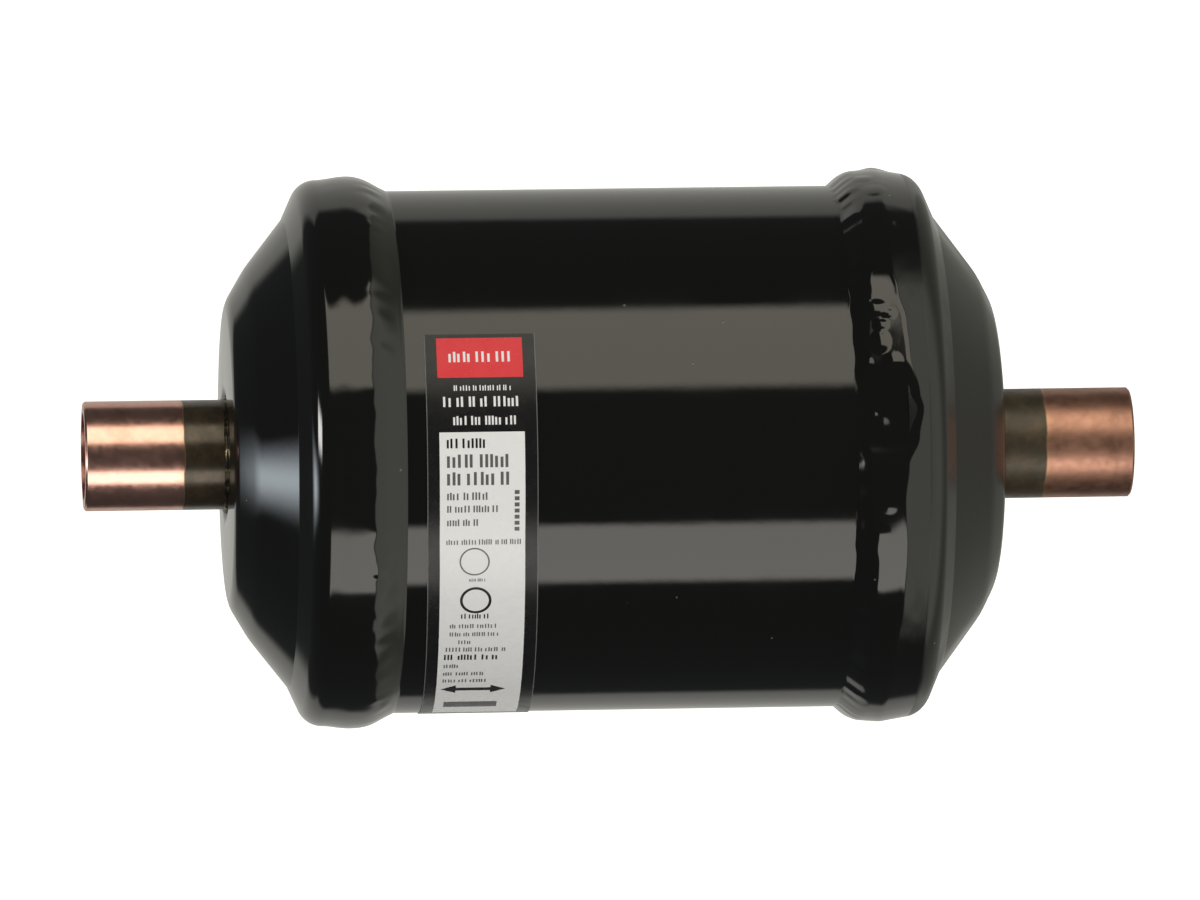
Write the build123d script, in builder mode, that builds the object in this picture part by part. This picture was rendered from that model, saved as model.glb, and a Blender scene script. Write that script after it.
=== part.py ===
from build123d import *
import os
from math import atan2, cos, degrees, radians, sin, sqrt, tan

# Bi-flow filter drier: a welded steel shell with a solid desiccant core, and a pair of
# spring-loaded check valves at each end, so that the refrigerant always crosses the core
# from the outside to the bore, whichever connector it comes in by.
#
# Millimetres. X runs along the axis, Z is up, and the origin is at the middle of the part.
# Every end piece is modelled at the right-hand end (+X) and turned about Z for the left one.

os.makedirs("parts", exist_ok=True)

END_TURNS = {"left": 180, "right": 0}

# Shell
shell_diameter = 77.0
shell_wall = 1.5
shell_length = 86.0

# End caps, pressed from sheet, measured on the outer face
cap_wall = 1.7
skirt_fit = 0.05
skirt_lap = 2.5
crown_rounding = 20.0
dome_depth = 9.0
dome_angle = 53.6
shoulder_width = 5.85
shoulder_angle = 65.0
shoulder_rounding = 3.2
crease_rounding = 3.0
lip_rounding = 2.5
collar_fit = 0.05
collar_length = 4.0

# Connectors
connector_diameter = 16.2
connector_standout = 20.0
connector_tail = 0.3
socket_diameter = 12.8
socket_depth = 12.0
passage_diameter = 11.0
rim_chamfer = 0.3

# Braze ring between connector and collar
braze_height = 0.65
braze_standout = 0.35
braze_ridge_width = 1.3

# Weld beads between cap skirt and shell: where the bead starts on the skirt, its crest,
# its shoulder and its toe, as distances from the end of the skirt and heights over the shell
bead_overlap = 2.6
bead_crest_offset = 1.5
bead_shoulder_offset = 4.6
bead_shoulder_drop = 0.45
bead_toe_offset = 8.2
bead_toe_angle = 24.0
bead_crest_height = {"left": 2.15, "right": 2.5}
# Weld lumps, where the weld starts, stops and overlaps
lump_radius = 3.0
lump_standout = 0.2
# Each lump: angle from the top, then its distance inboard of the skirt's end and its radius
# as shares of lump_radius, and its standout as a share of lump_standout
bead_lumps = {
    "left": [(62, 1.1, 0.9, 0.75), (205, 1.0, 1.0, 0.5), (-9, 1.4, 1.0, 0.5)],
    "right": [
        (-54, 0.5, 1.0, 1.5),
        (-62, 0.3, 0.8, 1.5),
        (-69, 0.3, 0.8, 2.0),
        (-79, 0.5, 1.1, 1.25),
        (-93, 0.0, 1.1, 1.0),
        (-104, 0.1, 1.0, 0.75),
        (12, 0.2, 1.1, 2.0),
    ],
}

# Label: thin film wrapped round the front of the shell, clear of the left bead's toe
label_thickness = 0.15
label_width = 16.1
label_clearance = 2.8
label_top_angle = 35.3
label_sweep = 127.0

# Core, gaskets, retainers and screen
core_shell_gap = 3.0
core_bore = 14.0
core_chamfer = 0.6
gasket_thickness = 1.2
gasket_edge_inset = 0.4
retainer_thickness = 0.8
retainer_rim_length = 4.0
retainer_core_fit = 0.1
retainer_pilot_fit = 0.1
retainer_ear_count = 4
retainer_ear_width = 10.0
retainer_ear_fit = 0.1
screen_fit = 0.1
screen_wall = 0.4
screen_end_gap = 0.1
screen_hole_diameter = 2.6
screen_hole_rings = 10
screen_hole_pairs = 2

# Valve plates, drawn from sheet: rim, dished boss, seat lip, neck and pilot
plate_thickness = 1.2
plate_rim_fit = 0.15
plate_seat_gap = 0.15
boss_depth = 2.6
boss_rounding = 0.3
recess_gap = 0.3
seat_lip_height = 0.4
neck_step_width = 1.6
pilot_core_fit = 0.2
pilot_length = 6.0
inlet_hole_count = 12
inlet_hole_diameter = 6.0
inlet_hole_cover = 1.5

# Moving discs and their travel
seat_film = 0.05
inlet_disc_shell_gap = 4.0
inlet_disc_thickness = 0.8
inlet_disc_guide_fit = 0.4
inlet_travel = 1.8
outlet_disc_overlap = 1.1
outlet_disc_thickness = 1.3
outlet_disc_boss_diameter = 7.6
outlet_disc_boss_height = 0.5
outlet_travel = 2.2

# Outlet valve cages and their rivets
cage_fit = 0.5
cage_wall = 0.8
cage_flange_width = 2.7
cage_rounding = 0.5
cage_hole_diameter = 9.0
window_count = 4
window_width = 9.0
window_sill = 1.0
window_lintel = 0.8
rivet_shank = 1.6
rivet_fit = 0.05
rivet_head_diameter = 2.3
rivet_head_height = 0.6
rivet_tail_height = 0.45

# Springs: wire, room left when the disc is fully lifted, and clearances at the two coil ends
spring_gap = 0.05
outlet_spring_wire = 0.5
outlet_spring_room = 1.85
outlet_spring_boss_gap = 0.55
outlet_spring_cage_gap = 1.75
outlet_spring_turns = 3
inlet_spring_wire = 0.6
inlet_spring_room = 0.75
inlet_spring_boss_gap = 1.5
inlet_spring_flare = 5.0
inlet_spring_turns = 2

# Shell
shell_radius = shell_diameter / 2
shell_bore_radius = shell_radius - shell_wall
shell_end = shell_length / 2

# Valve radii, from the core's bore outward: pilot, neck and port, disc, cage, boss
pilot_radius = core_bore / 2 - pilot_core_fit
pilot_bore_radius = pilot_radius - plate_thickness
neck_radius = pilot_radius + neck_step_width
port_radius = neck_radius - plate_thickness
outlet_disc_radius = neck_radius + outlet_disc_overlap
cage_bore_radius = outlet_disc_radius + cage_fit
cage_radius = cage_bore_radius + cage_wall
cage_flange_radius = cage_radius + cage_flange_width
rivet_circle_radius = (cage_radius + cage_flange_radius) / 2
rivet_hole_radius = rivet_shank / 2 + rivet_fit
recess_radius = cage_flange_radius + recess_gap
boss_radius = recess_radius + plate_thickness
inlet_disc_radius = shell_bore_radius - inlet_disc_shell_gap
inlet_hole_circle_radius = inlet_disc_radius - inlet_hole_cover - inlet_hole_diameter / 2

# Valve planes along the axis, from the plate's rim inward
plate_face = shell_end + plate_thickness
boss_back = shell_end - boss_depth
boss_floor = boss_back + plate_thickness
inlet_disc_seat = shell_end - seat_film
inlet_disc_back = inlet_disc_seat - inlet_disc_thickness
neck_step = inlet_disc_back - inlet_travel - inlet_spring_room
pilot_end = neck_step - pilot_length

# Valve planes along the axis, from the boss floor outward
seat_lip_face = boss_floor + seat_lip_height
outlet_disc_seat = seat_lip_face + seat_film
outlet_disc_top = outlet_disc_seat + outlet_disc_thickness
cage_ceiling = outlet_disc_top + outlet_travel + outlet_spring_room
cage_top = cage_ceiling + cage_wall

# End cap: radii, and depths below the crown
skirt_inner_radius = shell_radius + skirt_fit
skirt_radius = skirt_inner_radius + cap_wall
plate_radius = skirt_inner_radius - plate_rim_fit
crease_radius = skirt_radius - shoulder_width
crown_corner_radius = crease_radius - dome_depth * tan(radians(dome_angle))
shoulder_corner_depth = dome_depth + shoulder_width / tan(radians(shoulder_angle))
shoulder_depth = shoulder_corner_depth + shoulder_rounding * tan(radians(shoulder_angle / 2))
collar_radius = connector_diameter / 2 + collar_fit

# The plate's rim reaches into the shoulder's rounding until it seats there
inner_rounding = shoulder_rounding - cap_wall
rim_nest = sqrt(inner_rounding**2 - (inner_rounding - plate_rim_fit) ** 2) - plate_seat_gap
crown = plate_face - rim_nest + shoulder_depth
skirt_end = shell_end - skirt_lap
collar_end = crown - collar_length
connector_end = crown + connector_standout

# Label
label_centre = bead_toe_offset - skirt_end + label_clearance + label_width / 2

# Core stack: planes along the axis
retainer_back = neck_step - retainer_thickness
core_end = retainer_back - gasket_thickness
core_radius = shell_bore_radius - core_shell_gap
retainer_rim_bore = core_radius + retainer_core_fit
retainer_radius = retainer_rim_bore + retainer_thickness
retainer_hole_radius = pilot_radius + retainer_pilot_fit


def save(piece, name, turn=0):
    """Write the piece as its own STEP file, turned about Z to the end it belongs to."""
    with BuildPart() as node:
        add(piece.part, rotation=(0, 0, turn))
    node.part.label = name
    export_step(node.part, f"parts/{name}.step")


def turned(*points):
    """A solid of revolution about X from a closed outline of (x, radius) points."""
    with BuildPart() as body:
        with BuildSketch(Plane.XZ):
            with BuildLine():
                Polyline(*points, close=True)
            make_face()
        revolve(axis=Axis.X)
    return body


def shell_tube():
    with BuildPart() as tube:
        with BuildSketch(Plane.YZ):
            Circle(shell_radius)
            Circle(shell_bore_radius, mode=Mode.SUBTRACT)
        extrude(amount=shell_length / 2, both=True)
    return tube


def end_cap():
    """Sheet-metal cup: skirt over the shell, shoulder, crease, dome, crown, inward collar."""
    outer_face = [
        (skirt_end, skirt_radius),
        (crown - shoulder_corner_depth, skirt_radius),
        (crown - dome_depth, crease_radius),
        (crown, crown_corner_radius),
        (crown, collar_radius),
        (collar_end, collar_radius),
    ]
    roundings = [
        shoulder_rounding,
        crease_rounding,
        crown_rounding,
        lip_rounding,
    ]
    with BuildPart() as cap:
        with BuildSketch(Plane.XZ):
            with BuildLine():
                face_line = FilletPolyline(*outer_face, radius=roundings)
                offset(face_line, amount=cap_wall, side=Side.RIGHT, closed=True, mode=Mode.ADD)
            make_face()
        revolve(axis=Axis.X)
    return cap


def connector():
    """Tube stub with a solder socket, and a narrower passage behind it."""
    radius = connector_diameter / 2
    socket_floor = connector_end - socket_depth
    inner_end = collar_end - connector_tail
    return turned(
        (inner_end, passage_diameter / 2),
        (inner_end, radius - rim_chamfer),
        (inner_end + rim_chamfer, radius),
        (connector_end - rim_chamfer, radius),
        (connector_end, radius - rim_chamfer),
        (connector_end, socket_diameter / 2),
        (socket_floor, socket_diameter / 2),
        (socket_floor, passage_diameter / 2),
    )


def braze_ring(cap):
    """Filler ring: it fills the groove of the collar's lip and stands up in a thin ridge."""
    radius = connector_diameter / 2
    ridge = crown - braze_ridge_width / 2 + braze_standout
    ring = turned(
        (crown - lip_rounding, radius),
        (crown + braze_standout, radius),
        (ridge, radius + braze_height),
        (ridge - braze_ridge_width / 2, radius + braze_height / 2),
        (crown - lip_rounding / 2, radius + braze_height / 2),
    )
    with BuildPart() as seated:
        add(ring.part)
        add(cap.part, mode=Mode.SUBTRACT)
    return seated


def weld_bead(side):
    """Lap-weld bead over the skirt's end, swollen where the weld starts and overlaps."""
    crest = (skirt_end - bead_crest_offset, shell_radius + bead_crest_height[side])
    shoulder = (skirt_end - bead_shoulder_offset, crest[1] - bead_shoulder_drop)
    toe = (skirt_end - bead_toe_offset, shell_radius)
    start = (skirt_end + bead_overlap, skirt_radius)
    toe_run = (-cos(radians(bead_toe_angle)), -sin(radians(bead_toe_angle)))
    with BuildPart() as bead:
        with BuildSketch(Plane.XZ):
            with BuildLine():
                Spline(start, crest, shoulder, toe, tangents=[(-1, 0), toe_run])
                Polyline(toe, (skirt_end, shell_radius), (skirt_end, skirt_radius), start)
            make_face()
        revolve(axis=Axis.X)
        for angle, inboard, size, standout in bead_lumps[side]:
            radius = size * lump_radius
            reach = crest[1] + standout * lump_standout - radius
            centre = (
                skirt_end - inboard * lump_radius,
                reach * sin(radians(angle)),
                reach * cos(radians(angle)),
            )
            with Locations(centre):
                Sphere(radius)
        with BuildSketch(Plane.YZ.offset(skirt_end)):
            Circle(skirt_radius)
        extrude(amount=shell_length, mode=Mode.SUBTRACT)
        with BuildSketch(Plane.YZ):
            Circle(shell_radius)
        extrude(amount=shell_length, mode=Mode.SUBTRACT)
    return bead


def label():
    """Thin film, a sector of a ring round the shell, from its top edge down and under."""
    top = radians(label_top_angle)
    start_plane = Plane(origin=(0, 0, 0), x_dir=(1, 0, 0), z_dir=(0, -sin(top), -cos(top)))
    with BuildPart() as film:
        with BuildSketch(start_plane):
            with Locations((label_centre, shell_radius + label_thickness / 2)):
                Rectangle(label_width, label_thickness)
        revolve(axis=Axis.X, revolution_arc=label_sweep)
    return film


def valve_plate():
    """Drawn plate: flat rim with inlet holes, a dished boss, seat lip, neck and pilot."""
    with BuildPart() as plate:
        with BuildSketch(Plane.XZ) as section:
            with BuildLine():
                Polyline(
                    (pilot_end, pilot_bore_radius),
                    (pilot_end, pilot_radius),
                    (neck_step, pilot_radius),
                    (neck_step, neck_radius),
                    (boss_back, neck_radius),
                    (boss_back, boss_radius),
                    (shell_end, boss_radius),
                    (shell_end, plate_radius),
                    (plate_face, plate_radius),
                    (plate_face, recess_radius),
                    (boss_floor, recess_radius),
                    (boss_floor, neck_radius),
                    (seat_lip_face, neck_radius),
                    (seat_lip_face, port_radius),
                    (neck_step + plate_thickness, port_radius),
                    (neck_step + plate_thickness, pilot_bore_radius),
                    close=True,
                )
            make_face()
            bends = section.vertices().filter_by(
                lambda corner: abs(corner.Z - boss_radius) < boss_rounding
                or abs(corner.Z - recess_radius) < boss_rounding
            )
            fillet(bends, radius=boss_rounding)
        revolve(axis=Axis.X)
        with BuildSketch(Plane.YZ.offset(shell_end)):
            with PolarLocations(inlet_hole_circle_radius, inlet_hole_count):
                Circle(inlet_hole_diameter / 2)
        extrude(amount=plate_thickness, mode=Mode.SUBTRACT)
        with BuildSketch(Plane.YZ.offset(boss_back)):
            with PolarLocations(rivet_circle_radius, window_count, start_angle=180 / window_count):
                Circle(rivet_hole_radius)
        extrude(amount=plate_thickness, mode=Mode.SUBTRACT)
    return plate


def inlet_disc():
    """Ring that covers the inlet holes from inside and slides on the boss."""
    with BuildPart() as disc:
        with BuildSketch(Plane.YZ.offset(inlet_disc_back)):
            Circle(inlet_disc_radius)
            Circle(boss_radius + inlet_disc_guide_fit, mode=Mode.SUBTRACT)
        extrude(amount=inlet_disc_thickness)
    return disc


def outlet_disc():
    """Disc on the seat lip, with a raised centre that locates its spring."""
    with BuildPart() as disc:
        with BuildSketch(Plane.YZ.offset(outlet_disc_seat)):
            Circle(outlet_disc_radius)
        extrude(amount=outlet_disc_thickness)
        with BuildSketch(Plane.YZ.offset(outlet_disc_top)):
            Circle(outlet_disc_boss_diameter / 2)
        extrude(amount=outlet_disc_boss_height)
    return disc


def conical_spring(start, end, start_radius, end_radius, turns, wire):
    """Round-wire spring between two planes, with its wire just clear of both of them."""
    first = start + spring_gap + wire / 2
    height = end - start - 2 * spring_gap - wire
    flare = atan2(end_radius - start_radius, height)
    with BuildPart() as spring:
        with BuildLine() as coil:
            Helix(
                pitch=height / turns / cos(flare),
                height=height,
                radius=start_radius,
                center=(first, 0, 0),
                direction=(1, 0, 0),
                cone_angle=degrees(flare),
            )
        with BuildSketch(Plane(origin=coil.line @ 0, z_dir=coil.line % 0)):
            Circle(wire / 2)
        sweep(path=coil.line, is_frenet=True)
    return spring


def inlet_spring():
    """Wide flat spring round the boss, which presses the inlet ring to the plate."""
    inner_radius = boss_radius + inlet_spring_boss_gap + inlet_spring_wire / 2
    return conical_spring(
        neck_step,
        inlet_disc_back,
        inner_radius + inlet_spring_flare,
        inner_radius,
        inlet_spring_turns,
        inlet_spring_wire,
    )


def outlet_spring():
    """Small spring in the cage, which presses the outlet disc to its seat lip."""
    wire_radius = outlet_spring_wire / 2
    return conical_spring(
        outlet_disc_top,
        cage_ceiling,
        outlet_disc_boss_diameter / 2 + outlet_spring_boss_gap + wire_radius,
        cage_bore_radius - outlet_spring_cage_gap - wire_radius,
        outlet_spring_turns,
        outlet_spring_wire,
    )


def outlet_cage():
    """Windowed cup with a riveted flange, which guides the outlet disc."""
    flange_face = boss_floor + cage_wall
    with BuildPart() as cage:
        with BuildSketch(Plane.XZ) as section:
            with BuildLine():
                Polyline(
                    (boss_floor, cage_bore_radius),
                    (cage_ceiling, cage_bore_radius),
                    (cage_ceiling, cage_hole_diameter / 2),
                    (cage_top, cage_hole_diameter / 2),
                    (cage_top, cage_radius),
                    (flange_face, cage_radius),
                    (flange_face, cage_flange_radius),
                    (boss_floor, cage_flange_radius),
                    close=True,
                )
            make_face()
            top_corner = section.vertices().group_by(Axis.X)[-1].sort_by(Axis.Y)[-1]
            fillet(top_corner, radius=cage_rounding)
        revolve(axis=Axis.X)
        sill = flange_face + window_sill
        with BuildSketch(Plane.YZ.offset(sill)):
            with PolarLocations(cage_radius, window_count):
                Rectangle(4 * cage_wall, window_width)
        extrude(amount=cage_ceiling - window_lintel - sill, mode=Mode.SUBTRACT)
        with BuildSketch(Plane.YZ.offset(boss_floor)):
            with PolarLocations(rivet_circle_radius, window_count, start_angle=180 / window_count):
                Circle(rivet_hole_radius)
        extrude(amount=cage_wall, mode=Mode.SUBTRACT)
    return cage


def cage_rivets():
    """Rivets through the cage flange and the boss floor, one between each two windows."""
    flange_face = boss_floor + cage_wall
    layers = [
        (boss_back - rivet_tail_height, boss_back, rivet_head_diameter),
        (boss_back, flange_face, rivet_shank),
        (flange_face, flange_face + rivet_head_height, rivet_head_diameter),
    ]
    with BuildPart() as rivets:
        for start, end, diameter in layers:
            with BuildSketch(Plane.YZ.offset(start)):
                with PolarLocations(
                    rivet_circle_radius, window_count, start_angle=180 / window_count
                ):
                    Circle(diameter / 2)
            extrude(amount=end - start)
    return rivets


def core_retainer():
    """Cup over the end of the core: a rim round the core, and ears out to the shell."""
    with BuildPart() as retainer:
        with BuildSketch(Plane.YZ.offset(retainer_back)):
            with PolarLocations(retainer_radius, retainer_ear_count):
                Rectangle(2 * (shell_bore_radius - retainer_rim_bore), retainer_ear_width)
            Circle(shell_bore_radius - retainer_ear_fit, mode=Mode.INTERSECT)
            Circle(retainer_radius)
            Circle(retainer_hole_radius, mode=Mode.SUBTRACT)
        extrude(amount=retainer_thickness)
        with BuildSketch(Plane.YZ.offset(retainer_back)):
            Circle(retainer_radius)
            Circle(retainer_rim_bore, mode=Mode.SUBTRACT)
        extrude(amount=-retainer_rim_length)
    return retainer


def core_gasket():
    with BuildPart() as gasket:
        with BuildSketch(Plane.YZ.offset(core_end)):
            Circle(core_radius - gasket_edge_inset)
            Circle(core_bore / 2, mode=Mode.SUBTRACT)
        extrude(amount=gasket_thickness)
    return gasket


def desiccant_core():
    """Moulded block of bonded desiccant with a bore and broken edges."""
    with BuildPart() as core:
        with BuildSketch(Plane.YZ):
            Circle(core_radius)
            Circle(core_bore / 2, mode=Mode.SUBTRACT)
        extrude(amount=core_end, both=True)
        rims = core.edges().filter_by(GeomType.CIRCLE).group_by(SortBy.RADIUS)[-1]
        chamfer(rims, length=core_chamfer)
    return core


def core_screen():
    """Perforated tube that lines the core's bore between the two pilots."""
    radius = core_bore / 2 - screen_fit
    half_length = pilot_end - screen_end_gap
    ring_pitch = 2 * half_length / (screen_hole_rings + 1)
    with BuildPart() as screen:
        with BuildSketch(Plane.YZ):
            Circle(radius)
            Circle(radius - screen_wall, mode=Mode.SUBTRACT)
        extrude(amount=half_length, both=True)
        for pair in range(screen_hole_pairs):
            with BuildSketch(Plane.XY.rotated((pair * 180 / screen_hole_pairs, 0, 0))):
                with GridLocations(ring_pitch, 1, screen_hole_rings, 1):
                    Circle(screen_hole_diameter / 2)
            extrude(amount=core_bore, both=True, mode=Mode.SUBTRACT)
    return screen


save(shell_tube(), "shell_tube")
save(label(), "label")
save(desiccant_core(), "desiccant_core")
save(core_screen(), "core_screen")

cap = end_cap()
end_pieces = {
    "end_cap": cap,
    "connector": connector(),
    "braze_ring": braze_ring(cap),
    "valve_plate": valve_plate(),
    "inlet_disc": inlet_disc(),
    "inlet_spring": inlet_spring(),
    "outlet_disc": outlet_disc(),
    "outlet_spring": outlet_spring(),
    "outlet_cage": outlet_cage(),
    "cage_rivets": cage_rivets(),
    "core_retainer": core_retainer(),
    "core_gasket": core_gasket(),
}
for side, turn in END_TURNS.items():
    save(weld_bead(side), f"weld_bead_{side}", turn)
    for piece_name, piece in end_pieces.items():
        save(piece, f"{piece_name}_{side}", turn)
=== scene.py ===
import math
import random

import bpy
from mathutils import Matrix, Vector, noise


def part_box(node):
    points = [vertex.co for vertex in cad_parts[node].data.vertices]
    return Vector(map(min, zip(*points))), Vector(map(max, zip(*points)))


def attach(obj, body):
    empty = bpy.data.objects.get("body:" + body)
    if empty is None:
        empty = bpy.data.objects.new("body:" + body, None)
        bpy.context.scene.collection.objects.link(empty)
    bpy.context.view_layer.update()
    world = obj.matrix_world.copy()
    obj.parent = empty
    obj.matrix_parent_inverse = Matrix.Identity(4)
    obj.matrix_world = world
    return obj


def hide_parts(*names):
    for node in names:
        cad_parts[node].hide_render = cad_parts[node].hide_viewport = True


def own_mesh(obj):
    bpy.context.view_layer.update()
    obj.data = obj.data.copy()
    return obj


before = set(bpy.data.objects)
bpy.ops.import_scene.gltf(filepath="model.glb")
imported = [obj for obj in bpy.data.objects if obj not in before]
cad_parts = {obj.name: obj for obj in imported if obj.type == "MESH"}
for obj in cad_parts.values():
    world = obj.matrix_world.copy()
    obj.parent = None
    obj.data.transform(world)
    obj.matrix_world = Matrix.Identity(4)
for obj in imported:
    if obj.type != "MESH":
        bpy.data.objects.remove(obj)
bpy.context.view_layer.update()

# Looks of the bi-flow filter drier: camera, studio light, finishes, weld beads, braze and label.
#
# Lengths are in millimetres unless a name says otherwise, and MM turns them into metres.
# X runs along the axis, Z is up and the label faces -Y. Angles round the shell are in degrees
# above the front: 0 faces -Y, 90 is the top, -90 the bottom.

MM = 0.001
ROOT = "drier"


def node_box(name):
    """Lowest and highest corner of a CAD node, in millimetres."""
    low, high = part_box(name)
    return low / MM, high / MM


SHELL_RADIUS = node_box("shell_tube")[1].y
SKIRT_RADIUS = node_box("end_cap_right")[1].y
SKIRT_END = node_box("end_cap_right")[0].x
CONNECTOR_RADIUS = node_box("connector_right")[1].y
BEAD_START = node_box("weld_bead_right")[1].x
BEAD_REACH = 8.2
BEAD_TOE = SKIRT_END - BEAD_REACH
BRAZE_RADIUS = node_box("braze_ring_right")[1].y
LABEL_LOW, LABEL_HIGH = node_box("label")

SIDES = {"left": -1, "right": 1}


# ---------------------------------------------------------------- camera, light and floor

CAMERA_AZIMUTH = -5.0
CAMERA_ELEVATION = 9.3
CAMERA_DISTANCE = 1920.0
FOCAL_PIXELS = 13000.0
IMAGE_WIDTH = 1200.0
IMAGE_HEIGHT = 900.0
ORIGIN_PIXEL = (607.5, 449.1)
SENSOR_WIDTH = 36.0


def make_camera():
    """Camera at the photograph's angle, looking at the origin, framed by a small shift."""
    azimuth = math.radians(CAMERA_AZIMUTH)
    elevation = math.radians(CAMERA_ELEVATION)
    towards_camera = Vector((
        math.sin(azimuth) * math.cos(elevation),
        -math.cos(azimuth) * math.cos(elevation),
        math.sin(elevation),
    ))
    data = bpy.data.cameras.new("camera")
    data.sensor_width = SENSOR_WIDTH
    data.lens = FOCAL_PIXELS / IMAGE_WIDTH * SENSOR_WIDTH
    data.shift_x = (IMAGE_WIDTH / 2 - ORIGIN_PIXEL[0]) / IMAGE_WIDTH
    data.shift_y = (ORIGIN_PIXEL[1] - IMAGE_HEIGHT / 2) / IMAGE_WIDTH
    data.clip_end = 100
    camera = bpy.data.objects.new("camera", data)
    camera.location = towards_camera * CAMERA_DISTANCE * MM
    camera.rotation_euler = towards_camera.to_track_quat("Z", "Y").to_euler()
    bpy.context.scene.collection.objects.link(camera)
    bpy.context.scene.camera = camera


# Each light of the studio, as a patch of the surroundings: its colour and strength, then the
# limits that bound it, in degrees, each with the softness of its edges. "front" and "back" are
# the azimuth counted from that way, "side" is the angle out of the plane across the axis.
SOFT_BOX = {"side": (-16, 19, 3), "front": (-72, 72, 6)}
STUDIO_LIGHTS = [
    # Pale wall behind
    ((1.0, 0.99, 0.92), 0.55, {"back": (-30, 100, 8), "elevation": (-51, 47, 6)}),
    # Dim wall beyond the right-hand end, brighter towards the front
    ((1.0, 1.0, 0.88), 0.3, {"side": (21, 95, 4)}),
    ((1.0, 1.0, 0.9), 1.1, {"side": (21, 95, 4), "front": (-60, 84, 36)}),
    # Soft boxes above and below the camera, which make the two bands on the shell
    ((1.0, 0.95, 0.8), 2.4, {**SOFT_BOX, "elevation": (36, 73, 5)}),
    ((1.0, 0.97, 0.9), 3.0, {**SOFT_BOX, "elevation": (-51, -24, 4)}),
    # Lamps beyond the left-hand end: a cool glow on its dome, and a small bright one
    ((0.85, 0.94, 1.0), 11.0, {"front": (-108, -88, 34), "elevation": (-11, -4, 12)}),
    ((1.0, 0.98, 0.95), 16.0, {"front": (-80, -60, 5), "elevation": (4, 15, 8)}),
]
ROOM_COLOUR = (0.9, 0.95, 1.0)
ROOM_STRENGTH = 0.06


def add_node(tree, kind, inputs=None, **settings):
    """Add a node, set its properties, and fill its inputs with values or link them."""
    made = tree.nodes.new(kind)
    for name, value in settings.items():
        setattr(made, name, value)
    for socket, value in (inputs or {}).items():
        if isinstance(value, bpy.types.NodeSocket):
            tree.links.new(value, made.inputs[socket])
        else:
            made.inputs[socket].default_value = value
    return made


def between(tree, value, low, high, soft):
    """1 while the value is between two angles in degrees, else 0, with edges that soft."""
    low = math.radians(low)
    high = math.radians(high)
    half = math.radians(soft) / 2
    rise = add_node(tree, "ShaderNodeMapRange", {
        "Value": value,
        "From Min": low - half,
        "From Max": low + half,
    }, interpolation_type="SMOOTHSTEP")
    fall = add_node(tree, "ShaderNodeMapRange", {
        "Value": value,
        "From Min": high + half,
        "From Max": high - half,
    }, interpolation_type="SMOOTHSTEP")
    return times(tree, rise.outputs["Result"], fall.outputs["Result"])


def maths(tree, operation, first, second=0.0):
    """Output of a Math node."""
    return add_node(tree, "ShaderNodeMath", {0: first, 1: second}, operation=operation).outputs[0]


def times(tree, first, second):
    """Product of two values."""
    return maths(tree, "MULTIPLY", first, second)


def camera_ray(tree):
    """1 for what the camera sees directly, else 0."""
    return add_node(tree, "ShaderNodeLightPath").outputs["Is Camera Ray"]


def background(tree, colour, strength):
    """Plain light of one colour."""
    return add_node(tree, "ShaderNodeBackground", {
        "Color": (*colour, 1),
        "Strength": strength,
    }).outputs[0]


def make_world():
    """White to the camera. Everything else sees the dim room and the studio's lights."""
    world = bpy.data.worlds.new("studio")
    bpy.context.scene.world = world
    world.use_nodes = True
    tree = world.node_tree
    tree.nodes.clear()
    direction = add_node(tree, "ShaderNodeTexCoord").outputs["Generated"]
    split = add_node(tree, "ShaderNodeSeparateXYZ", {0: direction})
    x, y, z = split.outputs
    angles = {
        "front": maths(tree, "ARCTAN2", x, times(tree, y, -1.0)),
        "back": maths(tree, "ARCTAN2", x, y),
        "side": maths(tree, "ARCSINE", x),
        "elevation": maths(tree, "ARCSINE", z),
    }
    studio = background(tree, ROOM_COLOUR, ROOM_STRENGTH)
    for colour, strength, limits in STUDIO_LIGHTS:
        share = 1.0
        for angle, (low, high, soft) in limits.items():
            share = times(tree, between(tree, angles[angle], low, high, soft), share)
        studio = add_node(tree, "ShaderNodeMixShader", {
            0: share,
            1: studio,
            2: background(tree, colour, strength),
        }).outputs[0]
    seen = add_node(tree, "ShaderNodeMixShader", {
        0: camera_ray(tree),
        1: studio,
        2: background(tree, (1, 1, 1), 1.0),
    })
    add_node(tree, "ShaderNodeOutputWorld", {"Surface": seen.outputs[0]})


FLOOR_HEIGHT = -150.0
FLOOR_SIZE = 12000.0
FLOOR_COLOUR = (0.86, 0.86, 0.85)
FLOOR_GLOW = 0.75


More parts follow.
